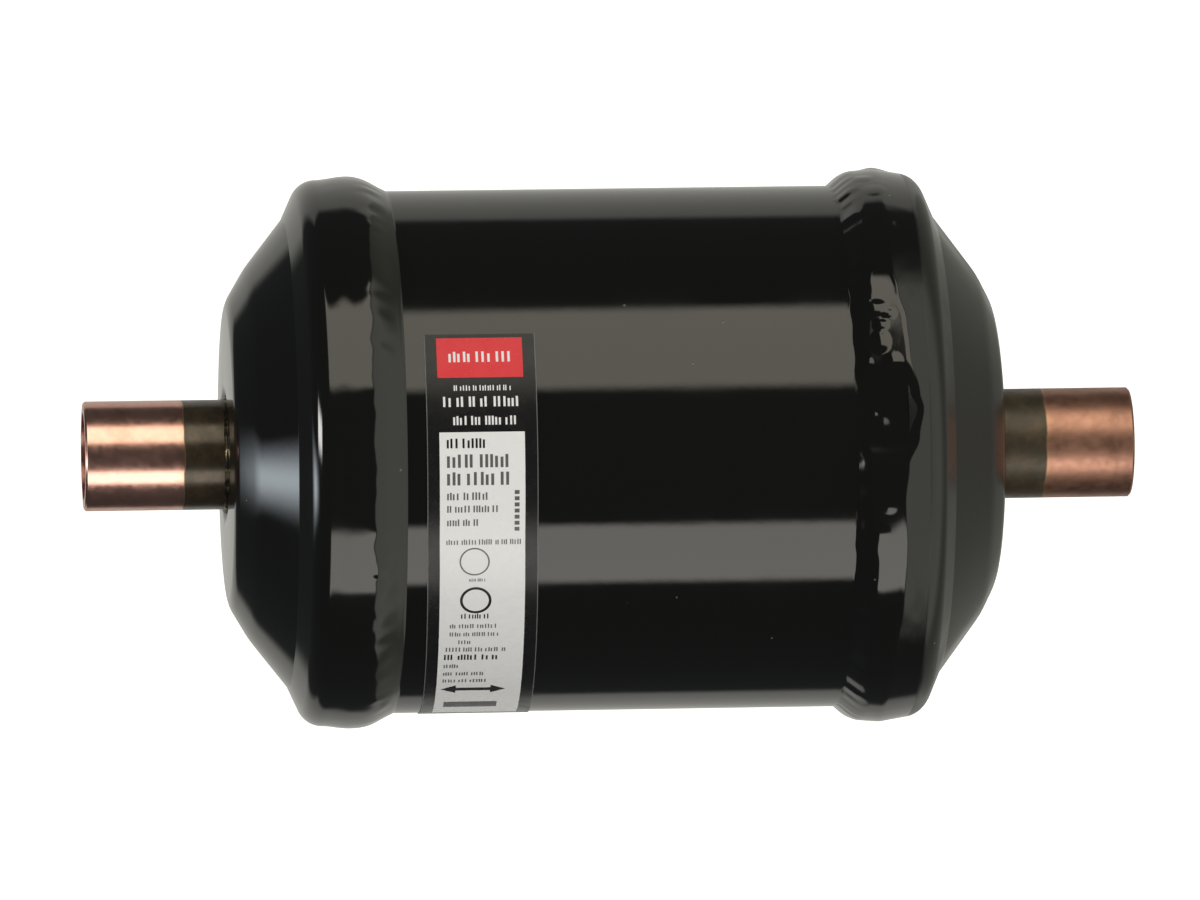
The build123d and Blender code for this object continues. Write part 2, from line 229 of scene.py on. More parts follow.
def make_floor():
    """Plain pale floor well below the part. It shows from above only, and keeps the shadow."""
    half = FLOOR_SIZE / 2
    corners = [(-half, -half), (half, -half), (half, half), (-half, half)]
    floor = mesh_object("floor", [(x, y, FLOOR_HEIGHT) for x, y in corners], [(0, 1, 2, 3)])
    made = bpy.data.materials.new("pale_floor")
    made.use_nodes = True
    tree = made.node_tree
    tree.nodes.clear()
    paper = add_node(tree, "ShaderNodeBsdfDiffuse", {"Color": (*FLOOR_COLOUR, 1)})
    glow = add_node(tree, "ShaderNodeEmission", {
        "Color": (1, 1, 1, 1),
        "Strength": times(tree, camera_ray(tree), FLOOR_GLOW),
    })
    lit = add_node(tree, "ShaderNodeAddShader", {0: paper.outputs[0], 1: glow.outputs[0]})
    clear = add_node(tree, "ShaderNodeBsdfTransparent")
    one_sided = add_node(tree, "ShaderNodeMixShader", {
        0: add_node(tree, "ShaderNodeNewGeometry").outputs["Backfacing"],
        1: lit.outputs[0],
        2: clear.outputs[0],
    })
    add_node(tree, "ShaderNodeOutputMaterial", {"Surface": one_sided.outputs[0]})
    floor.data.materials.append(made)
    floor.visible_glossy = False
    floor.visible_diffuse = False
    floor.visible_shadow = False
    floor.visible_transmission = False


# ---------------------------------------------------------------- mesh helpers

SMOOTH_ANGLE = 32.0


def mesh_object(name, points, faces):
    """Mesh object from points in millimetres, smooth except at sharp corners."""
    mesh = bpy.data.meshes.new(name)
    mesh.from_pydata([Vector(point) * MM for point in points], [], faces)
    mesh.shade_smooth()
    mesh.set_sharp_from_angle(angle=math.radians(SMOOTH_ANGLE))
    made = bpy.data.objects.new(name, mesh)
    bpy.context.scene.collection.objects.link(made)
    return made


def place(piece, finishes, replaced):
    """Finish a new piece, let it ride on the drier and stand for its CAD node."""
    for finish in finishes:
        piece.data.materials.append(finish)
    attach(piece, ROOT)
    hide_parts(replaced)


def around(x, radius, angle):
    """Point at a radius and an angle above the front."""
    turn = math.radians(angle)
    return (x, -radius * math.cos(turn), radius * math.sin(turn))


def closed_ring(name, outline, steps, mirror=1):
    """Ring round X whose closed outline (x, radius) may change with the angle."""
    points = []
    for step in range(steps):
        angle = 360 * step / steps
        points += [around(mirror * x, radius, angle) for x, radius in outline(angle)]
    count = len(points) // steps
    faces = []
    for step in range(steps):
        here = step * count
        there = (step + 1) % steps * count
        for first in range(count):
            second = (first + 1) % count
            quad = (here + first, here + second, there + second, there + first)
            faces.append(quad if mirror > 0 else quad[::-1])
    return mesh_object(name, points, faces)


def smooth_curve(knots, slopes, value):
    """Cubic Hermite curve through knots (position, height) with a slope at each."""
    for (x0, y0), (x1, y1), m0, m1 in zip(knots, knots[1:], slopes, slopes[1:]):
        if value <= x1:
            break
    span = x1 - x0
    t = (value - x0) / span
    return (
        (2 * t**3 - 3 * t**2 + 1) * y0
        + (t**3 - 2 * t**2 + t) * span * m0
        + (3 * t**2 - 2 * t**3) * y1
        + (t**3 - t**2) * span * m1
    )


def smooth_least(first, second, blend):
    """The smaller of two heights, rounded where they meet."""
    gap = max(blend - abs(first - second), 0) / blend
    return min(first, second) - gap * gap * blend / 4


def smooth_most(first, second, blend):
    """The larger of two heights, rounded where they meet."""
    return -smooth_least(-first, -second, blend)


def waver(angle, radius, x, wavelength, seed):
    """Smooth noise from -1 to 1 that closes on itself round the shell."""
    turn = math.radians(angle)
    spot = Vector((x, radius * math.cos(turn), radius * math.sin(turn))) / wavelength
    return noise.noise(spot + Vector((seed, seed, seed)))


# ---------------------------------------------------------------- end caps

CAP_STEPS = 300
CAP_FIT = 0.05
CAP_WALL = SKIRT_RADIUS - SHELL_RADIUS - CAP_FIT
CAP_ARC_STEP = 5.0
COLLAR_RADIUS = CONNECTOR_RADIUS + CAP_FIT
COLLAR_LENGTH = 4.0
LIP_ROUNDING = 2.5
# How far each crown stands out from the skirt's end
CROWN_REACH = {"left": 16.2, "right": 16.7}
# Corners of each pressed cap, as (out from the skirt's end, radius, rounding): shoulder, crease,
# the two slopes of the dome and the crown
CAP_CORNERS = {
    "left": [
        (4.7, SKIRT_RADIUS, 3.6),
        (7.3, 34.55, 0.9),
        (12.9, 27.4, 14.0),
        (15.9, 22.3, 5.5),
    ],
    "right": [
        (4.9, SKIRT_RADIUS, 3.6),
        (7.45, 34.35, 0.9),
        (13.95, 25.7, 12.0),
        (16.35, 21.0, 7.0),
    ],
}


def rounded_line(corners):
    """Line through corners (x, radius, rounding), with each rounding as an arc."""
    line = [corners[0][:2]]
    for (x0, y0, _), (x1, y1, rounding), (x2, y2, _) in zip(corners, corners[1:], corners[2:]):
        start = math.atan2(y1 - y0, x1 - x0)
        turn = (math.atan2(y2 - y1, x2 - x1) - start + math.pi) % (2 * math.pi) - math.pi
        side = math.copysign(rounding, turn)
        back = rounding * math.tan(abs(turn) / 2)
        centre_x = x1 - back * math.cos(start) - side * math.sin(start)
        centre_y = y1 - back * math.sin(start) + side * math.cos(start)
        count = math.ceil(math.degrees(abs(turn)) / CAP_ARC_STEP)
        for index in range(count + 1):
            heading = start + turn * index / count
            line.append((centre_x + side * math.sin(heading), centre_y - side * math.cos(heading)))
    return line + [corners[-1][:2]]


def cap_line(side, inset):
    """Line of the cap's sheet from the skirt's end to the collar's, inset from its outer face."""
    reach = CROWN_REACH[side]
    corners = [(0, SKIRT_RADIUS, 0), *CAP_CORNERS[side]]
    corners += [(reach, COLLAR_RADIUS, LIP_ROUNDING), (reach - COLLAR_LENGTH, COLLAR_RADIUS, 0)]
    line = rounded_line(corners)
    shifted = []
    for index, (x, y) in enumerate(line):
        before = line[max(index - 1, 0)]
        after = line[min(index + 1, len(line) - 1)]
        heading = math.atan2(after[1] - before[1], after[0] - before[0])
        shifted.append((SKIRT_END + x + inset * math.sin(heading), y - inset * math.cos(heading)))
    return shifted


def make_end_caps(finishes):
    """Pressed end caps, each one sheet from the skirt to the inward collar."""
    for side, mirror in SIDES.items():
        outline = cap_line(side, 0)[::-1] + cap_line(side, CAP_WALL)
        cap = closed_ring(f"cap_{side}", lambda angle: outline, CAP_STEPS, mirror)
        place(cap, [finishes[side]], f"end_cap_{side}")


# ---------------------------------------------------------------- weld beads

BEAD_STEPS = 900
BEAD_POINTS = 72
BEAD_EDGE = 0.06
TOE_SKIN = 0.004
# Left bead, as (inboard of the skirt's end, height over the shell, slope) from the skirt to the toe
LEFT_BEAD = [
    (-2.6, 1.75, 0.0),
    (1.5, 2.15, 0.0),
    (4.9, 1.62, -0.44),
    (7.5, 0.3, -0.46),
    (BEAD_REACH, TOE_SKIN, -0.04),
]
# The point of the left bead that wanders
BROW = 2
# Right bead: its ridge as (angle above the front, X, rise per length of the side facing the toe)
RIGHT_RIDGE = [
    (-180, 39.8, 0.08), (-120, 39.5, 0.08), (-90, 39.9, 0.08), (-60, 38.9, 0.1), (-38, 38.9, 0.08),
    (-25, 39.6, 0.04), (-13, 39.9, 0.1), (-2, 39.6, 0.2), (5, 40.1, 0.2), (11, 41.7, 0.22),
    (17, 42.4, 0.22), (20, 41.9, 0.22), (28, 40.7, 0.22), (36, 40.4, 0.22), (42, 39.5, 0.2),
    (49, 38.9, 0.16), (60, 39.0, 0.12), (90, 39.6, 0.08), (120, 39.8, 0.08), (180, 39.8, 0.08),
]
# The right bead's outer side runs on from the shoulder's rounding, at this slope
FLANK_SLOPE = 0.17
FLANK_START = (SKIRT_END + 3.13, SKIRT_RADIUS - 0.055)
# The right bead's toe: its mean place from the foot, its slope, and how far each bend is rounded
TOE_START = 0.8
TOE_SLOPE = 0.85
TOE_BLEND = 0.3
BROW_BLEND = 0.8
RIDGE_BLEND = 0.12
# Ripples of the weld face: height, wavelength and seed. They die out towards the face's edges.
RIPPLES = {"left": (0.014, 2.2, 3.7), "right": (0.009, 2.0, 8.2)}
RIPPLE_STRETCH = 0.7
RIPPLE_SEED_STEP = 5
SKIRT_SHORE = 2.0
TOE_SHORE_START = 1.2
TOE_SHORE = 2.4
# Wander of the toe along X: its size and wavelength
WANDER = {"left": (0.4, 2.4), "right": (0.3, 2.4)}
# Weld drops and craters: angle above the front, X, half width along X and round the shell, height
BEAD_DROPS = {
    "left": [
        (-29, 38.6, 2.0, 2.0, 0.08),
        (-16, 36.6, 1.2, 1.2, 0.1),
        (99, 37.4, 3.0, 3.0, 0.12),
    ],
    "right": [
        (39.0, 36.2, 2.2, 1.5, 0.3),
        (37.6, 38.2, 1.2, 0.8, 0.16),
        (35.4, 37.0, 1.2, 1.0, 0.2),
        (31.4, 36.8, 1.5, 1.8, 0.26),
        (26.8, 38.4, 1.5, 1.4, 0.26),
        (27.0, 34.8, 0.8, 0.9, 0.14),
        (12.5, 36.8, 1.3, 2.0, 0.12),
        (15.5, 35.6, 0.6, 0.6, 0.12),
        (-3.0, 37.4, 1.6, 1.4, 0.14),
        (-9.0, 36.4, 1.4, 1.4, 0.1),
        (62.0, 40.9, 0.9, 1.0, -0.06),
        (84.0, 37.2, 1.8, 2.0, 0.1),
        (76.0, 38.4, 2.0, 2.2, 0.1),
        (101.0, 40.2, 2.6, 4.0, 0.3),
    ],
}


def left_bead_height(inboard, wander):
    """Height over the shell, at a place inboard of the skirt's end."""
    knots = [(spot, height) for spot, height, slope in LEFT_BEAD]
    slopes = [slope for spot, height, slope in LEFT_BEAD]
    knots[BROW] = (knots[BROW][0] + wander, knots[BROW][1])
    return smooth_curve(knots, slopes, inboard)


def ridge_at(angle):
    """Place of the right bead's ridge and the slope of its toe side, at an angle."""
    angle = (angle + 180) % 360 - 180
    for (a0, x0, s0), (a1, x1, s1) in zip(RIGHT_RIDGE, RIGHT_RIDGE[1:]):
        if angle <= a1:
            break
    share = (angle - a0) / (a1 - a0)
    share = share * share * (3 - 2 * share)
    return x0 + (x1 - x0) * share, s0 + (s1 - s0) * share


def right_bead_height(x, angle, wander):
    """Height over the shell: of the side that falls to the skirt, or the one from the toe."""
    ridge, rise = ridge_at(angle)
    start_x, start_radius = FLANK_START
    flank = start_radius - SHELL_RADIUS + FLANK_SLOPE * (start_x - x)
    crest = flank + FLANK_SLOPE * (x - ridge)
    toe_end = BEAD_TOE + TOE_START + wander
    rising = crest - rise * (ridge - x)
    from_toe = TOE_SLOPE * (x - toe_end)
    top = smooth_least(rising, from_toe, BROW_BLEND)
    return smooth_most(smooth_least(flank, top, RIDGE_BLEND), TOE_SKIN, TOE_BLEND)


def drop_height(side, x, angle):
    """Height added by the weld drops and craters, each a shallow dome or hollow."""
    height = 0
    for drop_angle, drop_x, half_width, half_length, size in BEAD_DROPS[side]:
        turn = (angle - drop_angle + 180) % 360 - 180
        arc = SHELL_RADIUS * math.radians(turn)
        apart = ((x - drop_x) / half_width) ** 2 + (arc / half_length) ** 2
        if apart < 1:
            height += size * (1 - apart) * (1 - apart / 2)
    return height


def bead_outline(side):
    """Outline of the bead at an angle: its weld face, then the faces on the shell and the skirt."""
    depth, wavelength, seed = RIPPLES[side]
    wander_size, wander_length = WANDER[side]
    start_x, start_radius = (BEAD_START, SKIRT_RADIUS) if side == "left" else FLANK_START

    def outline(angle):
        wander = wander_size * waver(angle, SHELL_RADIUS, 0, wander_length, seed)
        face = [(start_x, start_radius)]
        for index in range(1, BEAD_POINTS - 1):
            x = start_x + (BEAD_TOE - start_x) * index / (BEAD_POINTS - 1)
            if side == "left":
                height = left_bead_height(SKIRT_END - x, wander)
            else:
                height = right_bead_height(x, angle, wander)
            from_foot = max(x - BEAD_TOE - TOE_SHORE_START, 0)
            shore = min((start_x - x) / SKIRT_SHORE, from_foot / TOE_SHORE, 1)
            spot = RIPPLE_STRETCH * x
            ripple = waver(angle, SHELL_RADIUS, spot, wavelength, seed + RIPPLE_SEED_STEP)
            height += shore * depth * ripple
            height += shore * drop_height(side, x, angle)
            face.append((x, SHELL_RADIUS + max(height, TOE_SKIN)))
        seat = [
            (BEAD_TOE, SHELL_RADIUS),
            (BEAD_TOE, SHELL_RADIUS - BEAD_EDGE),
            (SKIRT_END, SHELL_RADIUS - BEAD_EDGE),
            (SKIRT_END, start_radius - BEAD_EDGE),
            (start_x, start_radius - BEAD_EDGE),
        ]
        return face + seat

    return outline


def make_weld_beads(finish):
    """Lap-weld beads between the shell and the caps."""
    for side, mirror in SIDES.items():
        bead = closed_ring(f"weld_{side}", bead_outline(side), BEAD_STEPS, mirror)
        place(bead, [finish], f"weld_bead_{side}")


# ---------------------------------------------------------------- valve springs

# Each spring's joint, the fixed end's distance from the middle, and the room for it at rest and
# the travel that presses it together
VALVE_SPRINGS = {
    "inlet_spring": ("inlet_lift", 39.6, 2.55, 1.8),
    "outlet_spring": ("outlet_lift", 47.4, 4.05, 2.2),
}


def make_valve_springs(finish):
    """Springs with the frame's own coils, each a copy of the CAD node's mesh."""
    for side, mirror in SIDES.items():
        for name, (joint, fixed_end, room, travel) in VALVE_SPRINGS.items():
            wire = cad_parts[f"{name}_{side}"]
            coil = bpy.data.objects.new(f"coil_{name}_{side}", wire.data.copy())
            coil.matrix_world = wire.matrix_world.copy()
            bpy.context.scene.collection.objects.link(coil)
            coil.data.materials.clear()
            place(coil, [finish], f"{name}_{side}")
            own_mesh(coil)


# ---------------------------------------------------------------- braze rings

BRAZE_STEPS = 240
BRAZE_ARC_POINTS = 14
BRAZE_DEPTH = 2.4
BRAZE_TOP = {"left": 0.35, "right": 0.2}
BRAZE_HEIGHT = {"left": BRAZE_RADIUS - CONNECTOR_RADIUS, "right": 0.35}
BRAZE_SUNK = 0.1
BRAZE_FOOT = 0.6
# The ridge's unevenness, its seeds, and the wavelengths of its height and of its reach
BRAZE_ROUGHNESS = 0.22
BRAZE_SEED = {"left": 21.3, "right": 34.1}
HEIGHT_WAVE = (0, 1.1)
REACH_WAVE = (9, 1.6)


def braze_outline(side):
    """Filler ring: from the groove of the lip over an uneven ridge back to the connector."""
    crown = SKIRT_END + CROWN_REACH[side]
    root = crown - BRAZE_DEPTH

    def uneven(angle, wave):
        offset, wavelength = wave
        noise_here = waver(angle, CONNECTOR_RADIUS, offset, wavelength, BRAZE_SEED[side])
        return 1 + BRAZE_ROUGHNESS * noise_here

    def outline(angle):
        height = BRAZE_HEIGHT[side] * uneven(angle, HEIGHT_WAVE)
        height = min(height, BRAZE_RADIUS - CONNECTOR_RADIUS)
        top = crown + BRAZE_TOP[side] * uneven(angle, REACH_WAVE)
        middle = top - height
        points = [(root, CONNECTOR_RADIUS - BRAZE_SUNK)]
        points.append((top, CONNECTOR_RADIUS - BRAZE_SUNK))
        for index in range(BRAZE_ARC_POINTS + 1):
            turn = math.pi / 2 * index / BRAZE_ARC_POINTS
            rise = height * math.sin(turn)
            points.append((middle + height * math.cos(turn), CONNECTOR_RADIUS + rise))
        points.append((root, CONNECTOR_RADIUS + height * BRAZE_FOOT))
        return points[::-1]

    return outline


def make_braze_rings(finishes):
    """Rings of filler round the roots of the connectors."""
    for side, mirror in SIDES.items():
        ring = closed_ring(f"braze_{side}", braze_outline(side), BRAZE_STEPS, mirror)
        place(ring, [finishes[side]], f"braze_ring_{side}")


# ---------------------------------------------------------------- label

LABEL_CENTRE = (LABEL_LOW.x + LABEL_HIGH.x) / 2
LABEL_WIDTH = LABEL_HIGH.x - LABEL_LOW.x
LABEL_TOP = 35.3
LABEL_BOTTOM = -91.7
LABEL_EDGE = 0.12
# Drift to the right per degree, below that angle
LABEL_SKEW = 0.013
LABEL_SKEW_FROM = -10.0
FILM_THICKNESS = 0.15
INK = 0.012
ARC_STEP = 1.2


def label_point(across, angle, radius):
    """Point of the label: across from its middle, which drifts to the right on its way down."""
    drift = max(LABEL_SKEW_FROM - angle, 0) * LABEL_SKEW
    return around(LABEL_CENTRE + across + drift, radius, angle)


# Layers of the label over the shell, in millimetres
FILM_LAYER = 0.0
PRINT_LAYER = FILM_THICKNESS
TEXT_LAYER = PRINT_LAYER + INK

FILM, EDGE, RED, WHITE, BLACK, GREY = range(6)

# What is printed, with places across in millimetres from the label's middle and places down as
# angles above the front.
# Plain fields: left, right, top, bottom, layer and ink
FIELDS = [
    (-6.3, 6.15, 34.4, 25.3, PRINT_LAYER, RED),
    (-6.25, 6.15, 13.4, -74.0, PRINT_LAYER, WHITE),
    (-4.9, 2.9, -62.4, -66.6, TEXT_LAYER, BLACK),
]
# Rows that stand for lines of words: left, right, angle, height, layer and ink
WORD_ROWS = [
    (-4.6, 4.6, 30.0, 1.6, TEXT_LAYER, WHITE),
    (-4.0, 4.3, 23.0, 0.8, PRINT_LAYER, WHITE),
    (-5.6, 5.4, 20.0, 1.5, PRINT_LAYER, WHITE),
    (-4.2, 5.0, 15.9, 1.3, PRINT_LAYER, WHITE),
    (-5.2, 0.4, 11.0, 1.4, TEXT_LAYER, BLACK),
    (-5.2, 4.9, 7.2, 1.9, TEXT_LAYER, GREY),
    (-5.2, 5.2, 3.4, 1.9, TEXT_LAYER, GREY),
    (-5.2, 1.2, -0.4, 1.1, TEXT_LAYER, GREY),
    (-5.2, 2.4, -3.2, 1.0, TEXT_LAYER, GREY),
    (-5.2, -0.1, -6.2, 1.0, TEXT_LAYER, GREY),
    (-5.3, 5.6, -10.6, 0.8, TEXT_LAYER, GREY),
    (-2.0, 0.4, -19.6, 0.5, TEXT_LAYER, GREY),
    (-3.1, 1.0, -29.0, 0.9, TEXT_LAYER, BLACK),
    (-4.7, 2.4, -31.8, 0.8, TEXT_LAYER, GREY),
    (-4.7, 2.4, -34.2, 0.8, TEXT_LAYER, GREY),
    (-3.4, -1.2, -36.6, 0.8, TEXT_LAYER, GREY),
    (-5.2, 3.6, -39.0, 0.9, TEXT_LAYER, GREY),
    (-5.4, 2.6, -41.6, 1.2, TEXT_LAYER, BLACK),
    (-5.4, -2.8, -44.8, 0.9, TEXT_LAYER, GREY),
    (-5.4, 0.8, -47.8, 0.9, TEXT_LAYER, GREY),
    (-5.4, 1.2, -50.8, 0.9, TEXT_LAYER, GREY),
]
# The bars of a row: width as a share of its height, then in bars the steps from one to the next
# and the gap between groups, how many are in a group, and the shares that some are cut short by
BAR_WIDTH = 0.22
BAR_STEPS = (1.7, 1.9, 2.4)
GROUP_GAP = 1.6
GROUP_SIZE = (2, 6)
BAR_CUTS = (0.0, 0.0, 0.25, 0.4)
# Round outlines: across, angle, radius, width and ink
RINGS = [
    (-1.2, -15.2, 2.2, 0.22, GREY),
    (-1.0, -24.8, 2.3, 0.4, BLACK),
]
RING_STEPS = 40
# Upright column of short bars: how many, left, right, top, step and height
COLUMN = (7, 4.6, 5.3, 0.8, 1.35, 0.85)
# Plain double arrow: its angle, the shaft's ends and half height, the (tip, base) of each head
# and the heads' half height
ARROW_ANGLE = -54.8
ARROW_SHAFT = (-4.0, 2.3)
SHAFT_HALF = 0.7
ARROW_HEADS = ((-5.6, -3.4), (3.9, 1.7))
HEAD_HALF = 1.9


class Print:
    """Flat shapes laid on the shell's curve, each a thin closed solid, gathered in one mesh."""

    def __init__(self):
        self.points = []
        self.faces = []
        self.inks = []

    def add_faces(self, faces, ink):
        """Faces of one solid, all with that ink."""
        self.faces += faces
        self.inks += [ink] * len(faces)

    def strip(self, edges, layer, thickness, ink):
        """Solid from a list of (left, right, angle), top to bottom, on that layer."""
        low = SHELL_RADIUS + layer
        high = low + thickness
        start = len(self.points)
        for left, right, angle in edges:
            for across, radius in ((left, low), (right, low), (right, high), (left, high)):
                self.points.append(label_point(across, angle, radius))
        rings = [[start + 4 * row + corner for corner in range(4)] for row in range(len(edges))]
        faces = [tuple(rings[0]), tuple(reversed(rings[-1]))]
        for upper, lower in zip(rings, rings[1:]):
            for corner in range(4):
                after = (corner + 1) % 4
                faces.append((upper[corner], lower[corner], lower[after], upper[after]))
        self.add_faces(faces, ink)

    def bar(self, left, right, top, bottom, layer, ink, thickness=INK):
        """Rectangle, split along the curve."""
        count = max(1, round((top - bottom) / ARC_STEP))
        rows = [top + (bottom - top) * index / count for index in range(count + 1)]
        self.strip([(left, right, angle) for angle in rows], layer, thickness, ink)

    def quad(self, corners, layer, ink):
        """Thin four-cornered solid from (across, angle) corners."""
        start = len(self.points)
        for radius in (SHELL_RADIUS + layer, SHELL_RADIUS + layer + INK):
            self.points += [label_point(across, angle, radius) for across, angle in corners]
        low = [start + index for index in range(4)]
        high = [start + 4 + index for index in range(4)]
        faces = [tuple(reversed(low)), tuple(high)]
        for index in range(4):
            after = (index + 1) % 4
            faces.append((low[index], low[after], high[after], high[index]))
        self.add_faces(faces, ink)

    def word_row(self, rng, left, right, angle, height, layer, ink):
        """Row of fine upright bars in groups that stands for a line of words, without letters."""
        half = degrees_of(height) / 2
        width = BAR_WIDTH * height
        across = left
        while across < right - width:
            for _ in range(rng.randint(*GROUP_SIZE)):
                top = angle + half - rng.choice(BAR_CUTS) * half
                self.bar(across, across + width, top, angle - half, layer, ink)
                across += width * rng.choice(BAR_STEPS)
                if across > right - width:
                    break
            across += GROUP_GAP * width

    def ring(self, across, angle, radius, width, ink):
        """Round outline."""
        for index in range(RING_STEPS):
            corners = []
            for step, size in ((0, radius), (0, radius - width), (1, radius - width), (1, radius)):
                turn = 2 * math.pi * (index + step) / RING_STEPS
                up = degrees_of(size * math.sin(turn))
                corners.append((across + size * math.cos(turn), angle + up))
            self.quad(corners, TEXT_LAYER, ink)

    def double_arrow(self):
        """Shaft with a head at each end."""
        top = ARROW_ANGLE + SHAFT_HALF
        bottom = ARROW_ANGLE - SHAFT_HALF
        self.bar(*ARROW_SHAFT, top, bottom, TEXT_LAYER, BLACK)
        for tip, base in ARROW_HEADS:
            self.quad([
                (tip, ARROW_ANGLE),
                (base, ARROW_ANGLE + HEAD_HALF),
                (base, ARROW_ANGLE),
                (base, ARROW_ANGLE - HEAD_HALF),
            ], TEXT_LAYER, BLACK)


def degrees_of(length):
    """Angle that a length round the shell takes up."""
    return math.degrees(length / SHELL_RADIUS)


def make_label(inks):
    """Film with a red field, a white panel and rows of plain bars, rings and a double arrow."""
    rng = random.Random(11)
    printed = Print()
    half = LABEL_WIDTH / 2
    inner = half - LABEL_EDGE
    for left, right, ink in ((-inner, inner, FILM), (-half, -inner, EDGE), (inner, half, EDGE)):
        printed.bar(left, right, LABEL_TOP, LABEL_BOTTOM, FILM_LAYER, ink, FILM_THICKNESS)
    for field in FIELDS:
        printed.bar(*field)
    for row in WORD_ROWS:
        printed.word_row(rng, *row)
    count, left, right, first, step, height = COLUMN
    for index in range(count):
        top = first - step * index
        printed.bar(left, right, top, top - height, TEXT_LAYER, GREY)
    for ring in RINGS:
        printed.ring(*ring)
    printed.double_arrow()
    film = mesh_object("label_print", printed.points, printed.faces)
    place(film, inks, "label")
    for polygon, ink in zip(film.data.polygons, printed.inks):
        polygon.material_index = ink


# ---------------------------------------------------------------- finishes


def new_material(name, **sockets):
    """Material with one Principled shader whose constants are set on its own sockets."""
    made = bpy.data.materials.new(name)
    made.use_nodes = True
    tree = made.node_tree
    shader = tree.nodes["Principled BSDF"]
    for socket, value in sockets.items():
        shader.inputs[socket.replace("_", " ")].default_value = value
    return made, tree, shader


def object_coordinates(tree):
    """Place on the piece, in metres."""
    return add_node(tree, "ShaderNodeTexCoord").outputs["Object"]


def noise_texture(tree, scale_per_metre, detail=2.0, roughness=0.5, distortion=0.0):
    """Fac of a noise texture in object coordinates."""
    return add_node(tree, "ShaderNodeTexNoise", {
        "Vector": object_coordinates(tree),
        "Scale": scale_per_metre,
        "Detail": detail,
        "Roughness": roughness,
        "Distortion": distortion,
    }).outputs["Fac"]


def ramp(tree, value, low, high, start=0.0, end=1.0):
    """Value mapped smoothly from low..high to start..end."""
    return add_node(tree, "ShaderNodeMapRange", {
        "Value": value,
        "From Min": low,
        "From Max": high,
        "To Min": start,
        "To Max": end,
    }, interpolation_type="SMOOTHSTEP").outputs["Result"]


def blend_colours(tree, share, first, second):
    """Mix of two colours, each a value or an output."""
    mix = add_node(tree, "ShaderNodeMix", data_type="RGBA")
    for socket, value in ((0, share), (6, first), (7, second)):
        if isinstance(value, bpy.types.NodeSocket):
            tree.links.new(value, mix.inputs[socket])
        else:
            mix.inputs[socket].default_value = (*value, 1) if isinstance(value, tuple) else value
    return mix.outputs[2]


def bump(tree, shader, height, distance_mm):
    """Small relief on the shader's normal."""
    relief = add_node(tree, "ShaderNodeBump", {
        "Height": height,
        "Distance": distance_mm * MM,
        "Strength": 1.0,
    })
    tree.links.new(relief.outputs["Normal"], shader.inputs["Normal"])


def specks(tree, scale_per_metre, size, share):
    """1 on scattered round specks: a share of the cells has one."""
    cells = add_node(tree, "ShaderNodeTexVoronoi", {
        "Vector": object_coordinates(tree),
        "Scale": scale_per_metre,
        "Randomness": 1.0,
    })
    dot = ramp(tree, cells.outputs["Distance"], size, size * 0.6)
    chance = add_node(tree, "ShaderNodeSeparateColor", {0: cells.outputs["Color"]}).outputs[0]
    return times(tree, dot, maths(tree, "GREATER_THAN", chance, 1 - share))


PAINT_COLOUR = (0.0062, 0.0062, 0.0058)
DUST_COLOUR = (0.09, 0.09, 0.08)


def black_paint(name, dullest):
    """Glossy black enamel with a slight orange peel and dust in it."""
    made, tree, shader = new_material(name, IOR=1.5)
    dust = specks(tree, 420, size=0.1, share=0.05)
    colour = blend_colours(tree, dust, PAINT_COLOUR, DUST_COLOUR)
    tree.links.new(colour, shader.inputs["Base Color"])
    clouds = noise_texture(tree, 60, detail=3)
    tree.links.new(ramp(tree, clouds, 0.3, 0.75, dullest / 2, dullest), shader.inputs["Roughness"])
    peel = noise_texture(tree, 330)
    fine = noise_texture(tree, 1500, detail=1)
    relief = maths(tree, "ADD", peel, times(tree, fine, 0.12))
    relief = maths(tree, "ADD", relief, times(tree, dust, 2.5))
    bump(tree, shader, relief, distance_mm=0.006)
    return made


COPPER_FINISHES = {
    "left": {
        "bare": (0.74, 0.42, 0.34),
        "tarnish": (0.64, 0.35, 0.27),
        "roughness": (0.2, 0.27),
        "edge": 63.4,
    },
    "right": {
        "bare": (0.42, 0.22, 0.155),
        "tarnish": (0.3, 0.155, 0.11),
        "roughness": (0.36, 0.44),
        "edge": 64.7,
    },
}
OVERSPRAY_COLOUR = (0.055, 0.043, 0.027)
STAIN_COLOUR = (0.085, 0.06, 0.034)
STAIN_METALLIC = 0.35
GOLD_COLOUR = (0.5, 0.3, 0.15)
# The overspray's edge in millimetres: its softness and wobble, and the golden rim beyond it
EDGE_SOFTNESS = 0.15
EDGE_WOBBLE = 0.8
GOLD_RIM = (0.2, 0.7)
GOLD_SHARE = 0.35
BRAZE_BRIGHTNESS = {"left": 1.0, "right": 0.35}
BRAZE_GOLD = (0.2, 0.155, 0.075)
BRAZE_SILVER = (0.26, 0.25, 0.22)
FLUX_COLOUR = (0.02, 0.016, 0.01)


